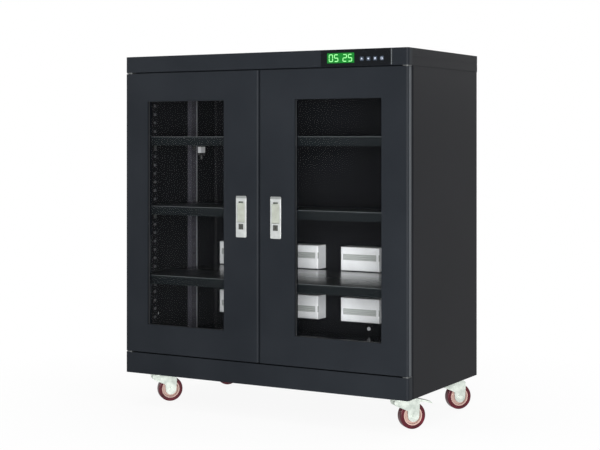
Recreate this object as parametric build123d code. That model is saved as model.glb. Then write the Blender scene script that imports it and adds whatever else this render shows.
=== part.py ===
"""Two-door desiccator cabinet: sheet-metal body on swivel castors, glazed doors with lock handles,
three shelves on slotted posts, wall-mounted drying units and a controller in the header.

Millimetres. +X is the viewer's right when facing the doors, +Y runs to the back, +Z is up.
The origin is on the floor, under the middle of the cabinet.
"""

import os

from build123d import *

# Body
WIDTH = 1200.0
DEPTH = 620.0  # door faces to back
BODY_HEIGHT = 1210.0
SHEET = 1.5
SIDE_BEND_RADIUS = 14.0
FRONT_EDGE_RADIUS = 9.0  # vertical front edges of doors, header and plinth
HEADER_HEIGHT = 60.0
PLINTH_HEIGHT = 78.0
LAND_WIDTH = 40.0  # flat frame that the door seals close on
REAR_FLANGE = 25.0
FLOOR_FLANGE = 30.0
BEAD_DROP = 30.0  # pressed line round the top cover
BEAD_HEIGHT = 3.0
BEAD_DEPTH = 0.6
POST_FLANGE_WIDTH = 72.0  # centre post
POST_WEB_WIDTH = 24.0
POST_WEB_DEPTH = 16.0
BASE_HEIGHT = 42.0
BASE_SHEET = 2.0
RAIL_WIDTH = 96.0
CUT = 1.0  # how far a cut runs on beyond the face it opens

# Doors
DOOR_THICKNESS = 24.0
SEAL_GAP = 8.0  # door back to land
DOOR_GAP = 3.0  # between the two doors
DOOR_END_GAP = 5.0  # above and below each door
WINDOW_INNER_X = 151.0  # window edge nearest the middle of the cabinet
WINDOW_SIDE_FRAME = 103.0  # window to the outer edge of its door
WINDOW_END_FRAME = 107.0  # above and below the window
WINDOW_CORNER_RADIUS = 3.0
REVEAL_DEPTH = 8.0
GLASS_THICKNESS = 4.0
GLASS_LAP = 8.0
GLAZING_LIP = 2.0
GLAZING_WALL = 4.0
SEAL_INSET = 14.0
SEAL_WIDTH = 16.0
SEAL_BASE = 2.5
SEAL_BULB_INSET = 2.5
SEAL_CLEARANCE = 0.3

# Corner hinges
HINGE_INSET_X = 10.0
HINGE_INSET_Y = 10.0
HINGE_PIN_RADIUS = 4.0
HINGE_PIN_ENGAGEMENT = 14.0
HINGE_BOSS_RADIUS = 7.0
HINGE_BOSS_LENGTH = 18.0
HINGE_PLATE = 3.0
HINGE_PLATE_WIDTH = 26.0
HINGE_PLATE_INSET = 2.0  # from the faces of the cabinet
HINGE_BORE_CLEARANCE = 2.0  # beyond the end of the pin
PIN_CLEARANCE = 0.06

# Lock handles
LOCK_X = 73.5
LOCK_Z = 612.0  # above the underside of the body
LOCK_WIDTH = 44.0
LOCK_HEIGHT = 152.0
LOCK_PROUD = 4.0
LOCK_CORNER_RADIUS = 4.0
LOCK_EDGE_RADIUS = 1.2
LOCK_TUB_DEPTH = 17.0
LOCK_RIM = 6.0
LOCK_TUB_RIM = 3.5
TUB_CLEARANCE = 0.5
FLAP_THICKNESS = 5.0
FLAP_HEIGHT = 70.0
FLAP_SET_BACK = 0.6
FLAP_CLEARANCE = 0.4
FLAP_ESCUTCHEON_GAP = 6.0
FLAP_LIP_DEPTH = 3.0
FLAP_LIP_HEIGHT = 4.0
FLAP_LIP_INSET = 2.0
FINGER_GAP = 14.0
FINGER_DEPTH = 13.0
TRUNNION_RADIUS = 1.5
TRUNNION_LENGTH = 2.0
BARREL_DROP = 37.0
BARREL_RADIUS = 7.5
BARREL_SHAFT_RADIUS = 5.0
BARREL_SHAFT_CLEARANCE = 2.0  # in the door's back sheet
BARREL_TAIL = 2.0  # behind the tub
KEYWAY_WIDTH = 2.2
KEYWAY_HEIGHT = 8.0
KEYWAY_DEPTH = 7.0
ESCUTCHEON_SIZE = 20.0
ESCUTCHEON_DEPTH = 1.0
CAM_LENGTH = 52.0
CAM_WIDTH = 16.0
CAM_THICKNESS = 3.0
CAM_CHAMFER = 6.0
CAM_GAP = 1.5  # behind the post flange
CAM_STUD_RADIUS = 4.0
CAM_NUT_SIZE = 13.0
CAM_NUT_HEIGHT = 4.0
THREAD_END = 1.0  # of the stud beyond its nut

# Shelves and their posts
FIRST_SHELF = 373.0  # top of the lowest shelf above the underside of the body
SHELF_SLOT_COUNT = 8  # slots from one shelf to the next
SHELF_LIP = 34.0
SHELF_EDGE_RADIUS = 3.0
SHELF_FRONT_SETBACK = 53.0
SHELF_UNIT_GAP = 8.0
SHELF_END_CLEARANCE = 3.0
SHELF_HEM = 12.0
SHELF_POST_WIDTH = 40.0
SHELF_POST_DEPTH = 20.0
SHELF_POST_INSET = 107.0  # middle of a post from the shelf's front or back edge
SLOT_PITCH = 33.25
SLOT_WIDTH = 18.0
SLOT_HEIGHT = 10.0
CLIP_WIDTH = 16.0
CLIP_DROP = 22.0
CLIP_REACH = 22.0
CLIP_SHEET = 1.5
CLIP_HOOK_DROP = 12.0
CLIP_HOOK_HEIGHT = 8.0
CLIP_HOOK_REACH = 3.0  # behind the face of the post

# Drying units on the back wall
UNIT_WIDTH = 170.0
UNIT_HEIGHT = 94.0
UNIT_DEPTH = 66.0
UNIT_EDGE_RADIUS = 5.0
UNIT_INNER_RIGHT_X = 128.0
UNIT_INNER_LEFT_X = 145.0
UNIT_OUTER_INSET = 155.0  # middle of an outer unit from the side of the cabinet
UNIT_LOW_LEVEL = 174.0  # lower row above the underside of the body
UNIT_LIFT = 2.0  # upper row above the lowest shelf
MOUTH_WIDTH = 146.0
MOUTH_HEIGHT = 24.0
MOUTH_DEPTH = 6.0
MOUTH_OFFSET = 7.0  # above the middle of a unit of the upper row, below it in the lower row
VENT_COUNT = 5
VENT_WIDTH = 90.0
VENT_HEIGHT = 5.0
VENT_PITCH = 13.0

# Controller
PANEL_WIDTH = 280.0
PANEL_INSET = 61.0  # from the side of the cabinet
PANEL_EDGE_GAP = 1.0
PANEL_THICKNESS = 1.5
PANEL_BOSS_INSET = 6.0
PANEL_BOSS_DEPTH = 8.0
DISPLAY_INSET = 25.0  # from the panel's inner end
DISPLAY_WIDTH = 108.0
DISPLAY_HEIGHT = 36.0
DISPLAY_RECESS = 0.8
KEY_COUNT = 4
KEY_INSET = 163.0  # first key from the panel's inner end
KEY_PITCH = 26.0
KEY_RISE = -5.0  # below the middle of the header
KEY_SIZE = 14.0
KEY_PROUD = 1.0
KEY_CLEARANCE = 0.2
KEY_FLANGE = 2.0
KEY_CORNER_RADIUS = 2.0
HOUSING_DEPTH = 70.0
HOUSING_START = 13.0

# Small fittings
SENSOR_SETBACK = 111.5  # from the back wall
SENSOR_Z = 849.0
SENSOR_DEPTH = 16.0
SENSOR_WIDTH = 30.0
SENSOR_HEIGHT = 44.0
SENSOR_TIP_RADIUS = 6.0
SENSOR_TIP_LENGTH = 16.0
PLUG_RADIUS = 7.0
PLUG_THICKNESS = 3.0
BACK_PLUG_X = 136.0
BACK_PLUG_Z = 142.0
SIDE_PLUG_SETBACK = 200.0  # from the door faces
SIDE_PLUG_Z = 203.0
INLET_INSET = 120.0  # from the side of the cabinet
INLET_Z = 72.0
INLET_FLANGE_WIDTH = 50.0
INLET_FLANGE_HEIGHT = 31.0
INLET_CORNER_RADIUS = 4.0
INLET_WIDTH = 27.0
INLET_HEIGHT = 20.0
INLET_WALL = 2.5
INLET_DEPTH = 17.0
BLADE_THICKNESS = 2.0
BLADE_HEIGHT = 4.0
BLADE_LENGTH = 7.0
BLADE_PITCH = 7.0

# Castors
CASTOR_HEIGHT = 122.0
CASTOR_INSET_X = 82.0  # kingpin from the side of the cabinet
CASTOR_INSET_Y = 105.0  # and from its front or back
TRAIL_ANGLE = 48.0  # heading of each fork from +X
TRAIL = 44.0
WHEEL_RADIUS = 47.5
TREAD_WIDTH = 30.0
TREAD_DEPTH = 13.0
TREAD_EDGE_RADIUS = 4.0
RIM_DEPTH = 6.0
RIM_SLOPE = 2.0
RIM_INSET = 1.0  # inside the tread's faces
WHEEL_WEB = 9.0
HUB_RADIUS = 13.0
HUB_CHAMFER = 2.0
HUB_TAPER = 3.0
HUB_SIDE_CLEARANCE = 1.0
AXLE_RADIUS = 5.0
AXLE_CLEARANCE = 0.06
AXLE_HEAD_SIZE = 15.0
AXLE_HEAD_HEIGHT = 5.0
FORK_INSIDE = 35.0
FORK_SHEET = 3.0
FORK_CROWN = 4.0
FORK_RACE_RADIUS = 30.0
FORK_RACE_DROP = 7.0
FORK_TOE_RADIUS = 14.0
FORK_SHOULDER_X = 20.0  # ahead of the kingpin
FORK_SHOULDER_RADIUS = 13.0
FORK_CROWN_LENGTH = 28.0  # ahead of the kingpin
PLATE_LENGTH = 95.0
PLATE_WIDTH = 76.0
PLATE_THICKNESS = 3.5
PLATE_CORNER_RADIUS = 8.0
PLATE_HOLES_X = 74.0  # between bolts
PLATE_HOLES_Y = 55.0
RACE_TOP_RADIUS = 25.0
RACE_HEIGHT = 8.5
RACE_GAP = 0.3
KINGPIN_RADIUS = 6.0
KINGPIN_HEAD_RADIUS = 10.0
KINGPIN_HEAD_HEIGHT = 4.5
BOLT_RADIUS = 4.0
BOLT_HEAD_SIZE = 13.0
BOLT_HEAD_HEIGHT = 5.0
BOLT_CLEARANCE = 0.5
BOLT_END = 2.0  # beyond its nut
BRAKE_PIVOT_X = 58.0  # behind the kingpin
BRAKE_PIVOT_Z = 100.0  # above the floor
BRAKE_PIN_RADIUS = 3.0
BRAKE_HUB_RADIUS = 6.5
BRAKE_EAR_RADIUS = 8.0
BRAKE_ELBOW_X = 88.0
BRAKE_ELBOW_Z = 97.0
BRAKE_TOE_X = 113.0
BRAKE_TOE_Z = 90.0
BRAKE_SHOE_X = 69.0
BRAKE_SHOE_Z = 96.0
BRAKE_SHOE_RADIUS = 2.5
BRAKE_SHOE_INSET = 3.0
BRAKE_PLATE = 6.0
BRAKE_SIDE_CLEARANCE = 0.5
BRAKE_PAD_WIDTH = 36.0

# Planes and limits that several pieces share
HALF_WIDTH = WIDTH / 2
FRONT_Y = LOCK_PROUD / 2 - DEPTH / 2
BACK_Y = FRONT_Y + DEPTH
DOOR_BACK_Y = FRONT_Y + DOOR_THICKNESS
LAND_Y = DOOR_BACK_Y + SEAL_GAP
LAND_BACK_Y = LAND_Y + SHEET
PANEL_FACE_Y = BACK_Y - 3 * SHEET  # inner face of the back panel
BASE_Z = CASTOR_HEIGHT
TOP_Z = BASE_Z + BODY_HEIGHT
PLINTH_TOP_Z = BASE_Z + PLINTH_HEIGHT
FLOOR_Z = PLINTH_TOP_Z + LAND_WIDTH
HEADER_Z = TOP_Z - HEADER_HEIGHT
CEILING_Z = HEADER_Z - LAND_WIDTH
SIDE_X = HALF_WIDTH - SHEET  # outer face of a side panel
WALL_X = SIDE_X - SHEET  # its inner face
LAND_X = SIDE_X - LAND_WIDTH
BACK_PANEL_X = SIDE_X - SIDE_BEND_RADIUS - SHEET
DOOR_X = (DOOR_GAP / 2, HALF_WIDTH)
DOOR_Z = (PLINTH_TOP_Z + DOOR_END_GAP, HEADER_Z - DOOR_END_GAP)
WINDOW_X = (WINDOW_INNER_X, HALF_WIDTH - WINDOW_SIDE_FRAME)
WINDOW_Z = (DOOR_Z[0] + WINDOW_END_FRAME, DOOR_Z[1] - WINDOW_END_FRAME)
GLASS_Y = (FRONT_Y + REVEAL_DEPTH + GLAZING_LIP, FRONT_Y + REVEAL_DEPTH + GLAZING_LIP + GLASS_THICKNESS)
GLAZING_Y = (FRONT_Y + REVEAL_DEPTH, GLASS_Y[1] + GLAZING_LIP)
HINGE_X = HALF_WIDTH - HINGE_INSET_X
HINGE_Y = FRONT_Y + HINGE_INSET_Y
HINGE_BORE_RADIUS = HINGE_PIN_RADIUS + PIN_CLEARANCE
LOCK_CENTRE_Z = BASE_Z + LOCK_Z
BARREL_Z = LOCK_CENTRE_Z - BARREL_DROP
FLAP_LOW_Z = BARREL_Z + ESCUTCHEON_SIZE / 2 + FLAP_ESCUTCHEON_GAP
FLAP_PIVOT_Y = FRONT_Y - LOCK_PROUD + FLAP_SET_BACK + FLAP_THICKNESS / 2
FLAP_PIVOT_Z = FLAP_LOW_Z + FLAP_THICKNESS / 2
POCKET_X = LOCK_WIDTH / 2 - LOCK_RIM
TUB_X = LOCK_WIDTH / 2 - LOCK_TUB_RIM
TUB_Z = LOCK_HEIGHT / 2 - LOCK_TUB_RIM
CAM_Y = LAND_BACK_Y + CAM_GAP
POST_FACE_X = WALL_X - SHELF_POST_DEPTH
UNIT_FACE_Y = PANEL_FACE_Y - UNIT_DEPTH
SHELF_Y = (FRONT_Y + SHELF_FRONT_SETBACK, UNIT_FACE_Y - SHELF_UNIT_GAP)
SHELF_X = POST_FACE_X - SHELF_END_CLEARANCE
SHELF_POST_Y = (SHELF_Y[0] + SHELF_POST_INSET, SHELF_Y[1] - SHELF_POST_INSET)
SHELF_SPACING = SHELF_SLOT_COUNT * SLOT_PITCH
SHELF_LEVELS = {
    "lower": FIRST_SHELF,
    "middle": FIRST_SHELF + SHELF_SPACING,
    "upper": FIRST_SHELF + 2 * SHELF_SPACING,
}
UNIT_OUTER_X = HALF_WIDTH - UNIT_OUTER_INSET
UNIT_COLUMNS = (-UNIT_OUTER_X, -UNIT_INNER_LEFT_X, UNIT_INNER_RIGHT_X, UNIT_OUTER_X)
UNIT_LEVELS = {"lower": UNIT_LOW_LEVEL, "upper": FIRST_SHELF + UNIT_LIFT}
PANEL_X = (HALF_WIDTH - PANEL_INSET - PANEL_WIDTH, HALF_WIDTH - PANEL_INSET)
DISPLAY_X = (PANEL_X[0] + DISPLAY_INSET, PANEL_X[0] + DISPLAY_INSET + DISPLAY_WIDTH)
PANEL_Z = (HEADER_Z + PANEL_EDGE_GAP, TOP_Z - PANEL_EDGE_GAP)
PANEL_MID_Z = (HEADER_Z + TOP_Z) / 2
PANEL_FRONT_Y = FRONT_Y - PANEL_THICKNESS
KEY_Z = PANEL_MID_Z + KEY_RISE
SENSOR_Y = PANEL_FACE_Y - SENSOR_SETBACK
INLET_X = HALF_WIDTH - INLET_INSET
CASTOR_X = HALF_WIDTH - CASTOR_INSET_X
CASTOR_Y = DEPTH / 2 - CASTOR_INSET_Y
AXLE_Z = WHEEL_RADIUS
RACE_Z = CASTOR_HEIGHT - PLATE_THICKNESS - RACE_HEIGHT
FORK_TOP_Z = RACE_Z - RACE_GAP
FORK_OUTSIDE = FORK_INSIDE + 2 * FORK_SHEET


def block(x, y, z):
    """A box from its (low, high) limits along each axis."""
    limits = (x, y, z)
    middle = [(low + high) / 2 for low, high in limits]
    sizes = [high - low for low, high in limits]
    return Pos(*middle) * Box(*sizes)


def around(middle, size):
    """The (low, high) limits of a size about its middle."""
    return middle - size / 2, middle + size / 2


def grown(limits, margin):
    return limits[0] - margin, limits[1] + margin


def upright(x, y, z, radius):
    """A vertical cylinder between two heights."""
    return Pos(x, y, (z[0] + z[1]) / 2) * Cylinder(radius, z[1] - z[0])


def through(x, y, z, radius):
    """A cylinder along Y between two depths."""
    return Pos(x, (y[0] + y[1]) / 2, z) * Rot(90, 0, 0) * Cylinder(radius, y[1] - y[0])


def across(x, y, z, radius):
    """A cylinder along X between two limits."""
    return Pos((x[0] + x[1]) / 2, y, z) * Rot(0, 90, 0) * Cylinder(radius, x[1] - x[0])


def face_towards(solid, direction):
    heading = Vector(*direction)
    return max(solid.faces(), key=lambda face: face.center().dot(heading))


def hollow(solid, wall, *directions):
    """Leave a sheet of the given wall, open on the faces that look in the given directions."""
    openings = [face_towards(solid, direction) for direction in directions]
    return offset(solid, amount=-wall, openings=openings)


def soften_front(solid, radius):
    """Round the vertical edges at the front."""
    edges = solid.edges().filter_by(Axis.Z).group_by(Axis.Y)[0]
    return fillet(edges, radius)


def mirrored(shape):
    return mirror(shape, about=Plane.YZ)


def group(shapes):
    """Separate solids that share one node."""
    return Compound(children=[solid for shape in shapes for solid in shape.solids()])


FORWARD, REARWARD = (0, -1, 0), (0, 1, 0)
DOWNWARD, UPWARD = (0, 0, -1), (0, 0, 1)
INWARD, OUTWARD = (-1, 0, 0), (1, 0, 0)  # on the right-hand side of the cabinet


# ---- Body -------------------------------------------------------------------------------------


def side_panel():
    """Right-hand side: one sheet folded round to the land in front and a flange behind."""
    shape = block((LAND_X, SIDE_X), (LAND_Y, BACK_Y - SHEET), (BASE_Z, TOP_Z - SHEET))
    outer_edges = shape.edges().filter_by(Axis.Z).group_by(Axis.X)[-1]
    shape = fillet(outer_edges, SIDE_BEND_RADIUS)
    shape = hollow(shape, SHEET, INWARD, UPWARD, DOWNWARD)
    trim = block((LAND_X, SIDE_X - REAR_FLANGE), (LAND_BACK_Y, BACK_Y), (BASE_Z, TOP_Z))
    return shape - trim


def inside_body(z):
    """A block that fills the body between the side panels, clear of their bends."""
    shape = block((-WALL_X, WALL_X), (LAND_BACK_Y, PANEL_FACE_Y), z)
    return fillet(shape.edges().filter_by(Axis.Z), SIDE_BEND_RADIUS)


def back_panel():
    """Back sheet between the rear flanges, with vents behind each drying unit."""
    y = (PANEL_FACE_Y, PANEL_FACE_Y + SHEET)
    shape = block((-BACK_PANEL_X, BACK_PANEL_X), y, (BASE_Z, TOP_Z - SHEET))
    y = grown(y, CUT)
    for level in UNIT_LEVELS.values():
        middle = BASE_Z + level + UNIT_HEIGHT / 2
        for step in range(VENT_COUNT):
            z = middle + (step - (VENT_COUNT - 1) / 2) * VENT_PITCH
            for x in UNIT_COLUMNS:
                shape -= block(around(x, VENT_WIDTH), y, around(z, VENT_HEIGHT))
    x = around(INLET_X, INLET_WIDTH + 2 * INLET_WALL)
    return shape - block(x, y, around(BASE_Z + INLET_Z, INLET_HEIGHT + 2 * INLET_WALL))


def cover_block(inset, z):
    """The outline of the top cover, drawn in by an inset."""
    shape = block((inset - HALF_WIDTH, HALF_WIDTH - inset), (LAND_Y + inset, BACK_Y - inset), z)
    rear_edges = shape.edges().filter_by(Axis.Z).group_by(Axis.Y)[-1]
    return fillet(rear_edges, SIDE_BEND_RADIUS + SHEET - inset)


def top_cover():
    """Tray turned upside down over the side and back panels, with a pressed line round its skirt."""
    shape = hollow(cover_block(0, (HEADER_Z, TOP_Z)), SHEET, DOWNWARD, FORWARD)
    bead = around(TOP_Z - BEAD_DROP, BEAD_HEIGHT)
    return shape - (cover_block(0, bead) - cover_block(BEAD_DEPTH, bead))


def front_strip(z, land_z):
    """A full-width front box, open behind, with the land that its back edge is folded to."""
    shape = block((-HALF_WIDTH, HALF_WIDTH), (FRONT_Y, LAND_Y), z)
    shape = hollow(soften_front(shape, FRONT_EDGE_RADIUS), SHEET, REARWARD)
    return shape + block((-LAND_X, LAND_X), (LAND_Y, LAND_BACK_Y), land_z)


def plinth():
    return front_strip((BASE_Z, PLINTH_TOP_Z), (PLINTH_TOP_Z - SHEET, FLOOR_Z))


def header_panel():
    shape = front_strip((HEADER_Z, TOP_Z), (CEILING_Z, HEADER_Z + SHEET))
    cutout_x = grown(PANEL_X, -PANEL_BOSS_INSET)
    cutout_z = grown(PANEL_Z, -PANEL_BOSS_INSET)
    return shape - block(cutout_x, (FRONT_Y - CUT, FRONT_Y + SHEET), cutout_z)


def floor_pan():
    return hollow(inside_body((FLOOR_Z - FLOOR_FLANGE, FLOOR_Z)), SHEET, DOWNWARD)


def centre_post():
    """The mullion that both doors close on: a flange in the land's plane, welded on a square tube."""
    z = (FLOOR_Z, CEILING_Z)
    flange = block(around(0, POST_FLANGE_WIDTH), (LAND_Y, LAND_BACK_Y), z)
    web_y = (LAND_BACK_Y, LAND_BACK_Y + POST_WEB_DEPTH)
    web = block(around(0, POST_WEB_WIDTH), web_y, z)
    core = block(around(0, POST_WEB_WIDTH - 2 * SHEET), grown(web_y, -SHEET), grown(z, CUT))
    return group([flange, web - core])


def base_frame():
    """Bottom tray with two hat rails over the castor plates."""
    shape = hollow(inside_body((BASE_Z, BASE_Z + BASE_HEIGHT)), BASE_SHEET, UPWARD)
    for y in (-CASTOR_Y, CASTOR_Y):
        length = (BASE_SHEET - WALL_X, WALL_X - BASE_SHEET)
        low, high = BASE_Z + BASE_SHEET, BASE_Z + BASE_HEIGHT
        rail = block(length, around(y, RAIL_WIDTH), (low, high))
        shape += rail - block(length, around(y, RAIL_WIDTH - 2 * BASE_SHEET), (low, high - BASE_SHEET))
    for bolt_x, bolt_y in castor_bolt_places():
        z = grown((BASE_Z, BASE_Z + BASE_SHEET), CUT)
        shape -= upright(bolt_x, bolt_y, z, BOLT_RADIUS + BOLT_CLEARANCE)
    return shape


# ---- Doors (modelled on the right-hand side, the left one is its mirror image) -----------------


def window_block(margin, y):
    """The window outline grown by a margin, between two depths."""
    shape = block(grown(WINDOW_X, margin), y, grown(WINDOW_Z, margin))
    return fillet(shape.edges().filter_by(Axis.Y), WINDOW_CORNER_RADIUS + margin)


def door_shell():
    """Front skin folded back on all four sides and into the window reveal, with its hinge bosses."""
    shape = soften_front(block(DOOR_X, (FRONT_Y, DOOR_BACK_Y), DOOR_Z), FRONT_EDGE_RADIUS)
    shape = hollow(shape, SHEET, REARWARD)
    shape += window_block(SHEET, (FRONT_Y, FRONT_Y + REVEAL_DEPTH))
    shape -= window_block(0, grown((FRONT_Y, FRONT_Y + REVEAL_DEPTH), CUT))
    low, high = DOOR_Z
    bore_depth = HINGE_PIN_ENGAGEMENT + HINGE_BORE_CLEARANCE
    for boss, bore in (
        ((low, low + HINGE_BOSS_LENGTH), (low - CUT, low + bore_depth)),
        ((high - HINGE_BOSS_LENGTH, high), (high - bore_depth, high + CUT)),
    ):
        shape += upright(HINGE_X, HINGE_Y, boss, HINGE_BOSS_RADIUS)
        shape -= upright(HINGE_X, HINGE_Y, bore, HINGE_BORE_RADIUS)
    cutout = block(
        around(LOCK_X, 2 * (TUB_X + TUB_CLEARANCE)),
        grown((FRONT_Y, FRONT_Y + SHEET), CUT),
        around(LOCK_CENTRE_Z, 2 * (TUB_Z + TUB_CLEARANCE)),
    )
    return shape - cutout


def door_liner():
    """Back sheet of the door, set between the shell's folds, with its ring that holds the glazing."""
    y = (DOOR_BACK_Y - SHEET, DOOR_BACK_Y)
    shape = block(grown(DOOR_X, -SHEET), y, grown(DOOR_Z, -SHEET))
    shape += window_block(SHEET, (GLAZING_Y[1], DOOR_BACK_Y))
    shape -= window_block(0, grown((GLAZING_Y[1], DOOR_BACK_Y), CUT))
    return shape - through(LOCK_X, grown(y, CUT), BARREL_Z, BARREL_SHAFT_RADIUS + BARREL_SHAFT_CLEARANCE)


def window_glass():
    return window_block(GLASS_LAP, GLASS_Y)


def glazing_seal():
    """Rubber channel round the edge of the glass."""
    outer = window_block(GLASS_LAP + GLAZING_WALL, GLAZING_Y)
    return outer - window_block(0, grown(GLAZING_Y, CUT)) - window_glass()


def seal_ring(inset, width, y):
    """A rectangular ring round the back of the door."""
    x = grown(DOOR_X, -inset)
    z = grown(DOOR_Z, -inset)
    return block(x, y, z) - block(grown(x, -width), grown(y, CUT), grown(z, -width))


def door_seal():
    """Magnetic gasket: a flat base and the bulb that closes on the land."""
    base_back = DOOR_BACK_Y + SEAL_BASE
    base = seal_ring(SEAL_INSET, SEAL_WIDTH, (DOOR_BACK_Y, base_back))
    bulb_width = SEAL_WIDTH - 2 * SEAL_BULB_INSET
    bulb_y = (base_back, LAND_Y - SEAL_CLEARANCE)
    return base + seal_ring(SEAL_INSET + SEAL_BULB_INSET, bulb_width, bulb_y)


def lock_housing():
    """Flush handle body: a plate on the door skin, a tub behind it and the pocket for the flap."""
    front, tub_back = FRONT_Y - LOCK_PROUD, FRONT_Y + LOCK_TUB_DEPTH
    plate = block(around(LOCK_X, LOCK_WIDTH), (front, FRONT_Y), around(LOCK_CENTRE_Z, LOCK_HEIGHT))
    plate = fillet(plate.edges().filter_by(Axis.Y), LOCK_CORNER_RADIUS)
    plate = fillet(face_towards(plate, FORWARD).edges(), LOCK_EDGE_RADIUS)
    tub = block(around(LOCK_X, 2 * TUB_X), (FRONT_Y, tub_back), around(LOCK_CENTRE_Z, 2 * TUB_Z))
    shape = plate + tub
    pocket_top = FLAP_LOW_Z + FLAP_HEIGHT + FINGER_GAP
    shape -= block(
        around(LOCK_X, 2 * POCKET_X),
        (front - CUT, front + FINGER_DEPTH),
        (FLAP_LOW_Z - FLAP_CLEARANCE, pocket_top),
    )
    trunnion_x = around(LOCK_X, 2 * (POCKET_X + TRUNNION_LENGTH))
    bore_radius = TRUNNION_RADIUS + PIN_CLEARANCE
    shape -= across(trunnion_x, FLAP_PIVOT_Y, FLAP_PIVOT_Z, bore_radius)
    recess = (front - CUT, front + ESCUTCHEON_DEPTH)
    shape -= block(around(LOCK_X, ESCUTCHEON_SIZE), recess, around(BARREL_Z, ESCUTCHEON_SIZE))
    bore = grown((front, tub_back), CUT)
    return shape - through(LOCK_X, bore, BARREL_Z, BARREL_RADIUS + PIN_CLEARANCE)


def lock_paddle():
    """Pull flap on two trunnions at its lower edge, with a finger lip behind its upper edge."""
    half = POCKET_X - FLAP_CLEARANCE
    high = FLAP_LOW_Z + FLAP_HEIGHT
    y = around(FLAP_PIVOT_Y, FLAP_THICKNESS)
    shape = block(around(LOCK_X, 2 * half), y, (FLAP_PIVOT_Z, high))
    shape += across(around(LOCK_X, 2 * half), FLAP_PIVOT_Y, FLAP_PIVOT_Z, FLAP_THICKNESS / 2)
    lip_depth = (y[1], y[1] + FLAP_LIP_DEPTH)
    shape += block(around(LOCK_X, 2 * (half - FLAP_LIP_INSET)), lip_depth, (high - FLAP_LIP_HEIGHT, high))
    trunnion_x = around(LOCK_X, 2 * (POCKET_X + TRUNNION_LENGTH - FLAP_CLEARANCE))
    return shape + across(trunnion_x, FLAP_PIVOT_Y, FLAP_PIVOT_Z, TRUNNION_RADIUS)


def lock_barrel():
    """Key cylinder, its shaft through the door and the stud that the cam sits on."""
    front = FRONT_Y - LOCK_PROUD
    barrel_back = FRONT_Y + LOCK_TUB_DEPTH + BARREL_TAIL
    shape = through(LOCK_X, (front, barrel_back), BARREL_Z, BARREL_RADIUS)
    shape += through(LOCK_X, (barrel_back, CAM_Y), BARREL_Z, BARREL_SHAFT_RADIUS)
    stud = (CAM_Y, CAM_Y + CAM_THICKNESS + CAM_NUT_HEIGHT + THREAD_END)
    shape += through(LOCK_X, stud, BARREL_Z, CAM_STUD_RADIUS)
    keyway = (front - CUT, front + KEYWAY_DEPTH)
    return shape - block(around(LOCK_X, KEYWAY_WIDTH), keyway, around(BARREL_Z, KEYWAY_HEIGHT))


def lock_cam():
    """Latch tongue hanging from the stud, with its nut."""
    outline = Pos(0, -CAM_LENGTH / 2) * Rectangle(CAM_WIDTH, CAM_LENGTH)
    outline = chamfer(outline.vertices().group_by(Axis.Y)[0], CAM_CHAMFER)
    outline += Circle(CAM_WIDTH / 2)
    outline -= Circle(CAM_STUD_RADIUS)
    nut_outline = RegularPolygon(CAM_NUT_SIZE / 2, 6, major_radius=False) - Circle(CAM_STUD_RADIUS)
    on_shaft = Pos(LOCK_X, 0, BARREL_Z) * Rot(90, 0, 0)
    tongue = extrude(on_shaft * outline, amount=-CAM_THICKNESS)
    nut = extrude(on_shaft * nut_outline, amount=-CAM_NUT_HEIGHT)
    return group([Pos(0, CAM_Y, 0) * tongue, Pos(0, CAM_Y + CAM_THICKNESS, 0) * nut])


def hinge_brackets():
    """Corner plates on the plinth and under the header, each with the pin that a door turns on."""
    x = (HALF_WIDTH - HINGE_PLATE_WIDTH, HALF_WIDTH - HINGE_PLATE_INSET)
    y = (FRONT_Y + HINGE_PLATE_INSET, LAND_Y)
    low, high = DOOR_Z
    pieces = []
    for plate_z, pin_z in (
        ((PLINTH_TOP_Z, PLINTH_TOP_Z + HINGE_PLATE), (PLINTH_TOP_Z, low + HINGE_PIN_ENGAGEMENT)),
        ((HEADER_Z - HINGE_PLATE, HEADER_Z), (high - HINGE_PIN_ENGAGEMENT, HEADER_Z)),
    ):
        plate = soften_front(block(x, y, plate_z), FRONT_EDGE_RADIUS - HINGE_PLATE_INSET)
        right = plate + upright(HINGE_X, HINGE_Y, pin_z, HINGE_PIN_RADIUS)
        pieces += [right, mirrored(right)]
    return group(pieces)


# ---- Inside -----------------------------------------------------------------------------------


def slot_levels():
    """Heights of the slots: the hook of every clip meets one."""
    hook = BASE_Z + FIRST_SHELF - SHELF_LIP - CLIP_HOOK_DROP
    below = int((hook - FLOOR_Z - SLOT_HEIGHT) // SLOT_PITCH)
    above = int((TOP_Z - SHEET - hook - SLOT_HEIGHT - HEADER_HEIGHT) // SLOT_PITCH)
    return [hook + step * SLOT_PITCH for step in range(-below, above + 1)]


def shelf_posts():
    """Slotted channels on the side walls."""
    posts = []
    for y in SHELF_POST_Y:
        post = block((POST_FACE_X, WALL_X), around(y, SHELF_POST_WIDTH), (FLOOR_Z, HEADER_Z))
        post = hollow(post, SHEET, OUTWARD, UPWARD, DOWNWARD)
        for z in slot_levels():
            slot_x = grown((POST_FACE_X, POST_FACE_X + SHEET), CUT)
            post -= block(slot_x, around(y, SLOT_WIDTH), around(z, SLOT_HEIGHT))
        posts += [mirrored(post), post]
    return group(posts)


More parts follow.
